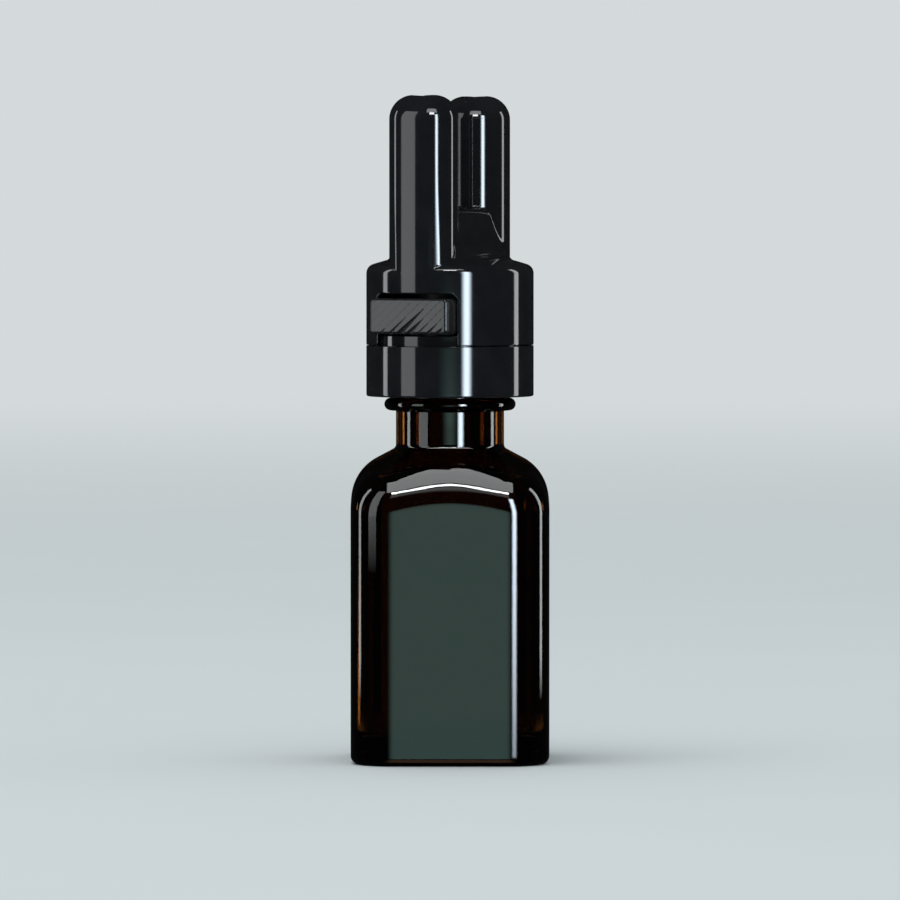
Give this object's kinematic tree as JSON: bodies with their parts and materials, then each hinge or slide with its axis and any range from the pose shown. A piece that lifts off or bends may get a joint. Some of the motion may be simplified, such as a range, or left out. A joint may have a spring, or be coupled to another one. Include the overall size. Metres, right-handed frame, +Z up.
{
  "type": "sniffer bottle",
  "caption": "Square dark amber glass bottle with a glossy black valve cap: a push button opens the bottle to a pair of hollow nose towers on top.",
  "frame": {"origin": "centre of the bottle's base, on the surface it stands on", "axes": "+Z up along the bottle's axis; the bottle's front face looks along -Y, and its right side face along +X"},
  "size_m": [0.0288, 0.0288, 0.0968],
  "materials": {
    "amber_glass": "dark amber, polished",
    "gloss_black": "polished moulded black",
    "button_black": "black with fine slanting grooves",
    "pale_seal": "soft matt",
    "valve_polymer": "moulded matt",
    "tube_polymer": "smooth natural polymer",
    "black_rubber": "matt",
    "spring_steel": "drawn wire"
  },
  "bodies": {
    "bottle": {"glass_bottle": "amber_glass"},
    "head": {"head_shell": "gloss_black", "valve_body": "valve_polymer", "neck_gasket": "pale_seal", "vapour_manifold": "valve_polymer", "manifold_seal": "black_rubber", "front_vapour_tube": "tube_polymer", "rear_vapour_tube": "tube_polymer", "front_outlet_sleeve": "black_rubber", "rear_outlet_sleeve": "black_rubber", "spring_plug": "valve_polymer", "return_spring": "spring_steel"},
    "collar": {"screw_collar": "gloss_black"},
    "button": {"push_button": "button_black", "valve_spool": "tube_polymer", "front_spool_seal": "black_rubber", "middle_spool_seal": "black_rubber", "rear_spool_seal": "black_rubber"}
  },
  "joints": [
    {"name": "head_lift", "type": "slide", "parent": "bottle", "child": "head", "axis": [0, 0, 1], "range_m": [0, 0.0045]},
    {"name": "collar_turn", "type": "hinge", "parent": "head", "child": "collar", "pos_m": [0, 0, 0.0568], "axis": [0, 0, 1], "range_deg": [0, 540]},
    {"name": "button_press", "type": "slide", "parent": "head", "child": "button", "axis": [0.4648, 0.8854, 0], "range_m": [0, 0.0018], "stiffness_N_per_m": 300, "springref_m": -0.0015, "deforming": ["return_spring"]}
  ],
  "couplings": [
    {"joint": "head_lift", "follows": "collar_turn", "m_per_rad": 0.00047746}
  ]
}
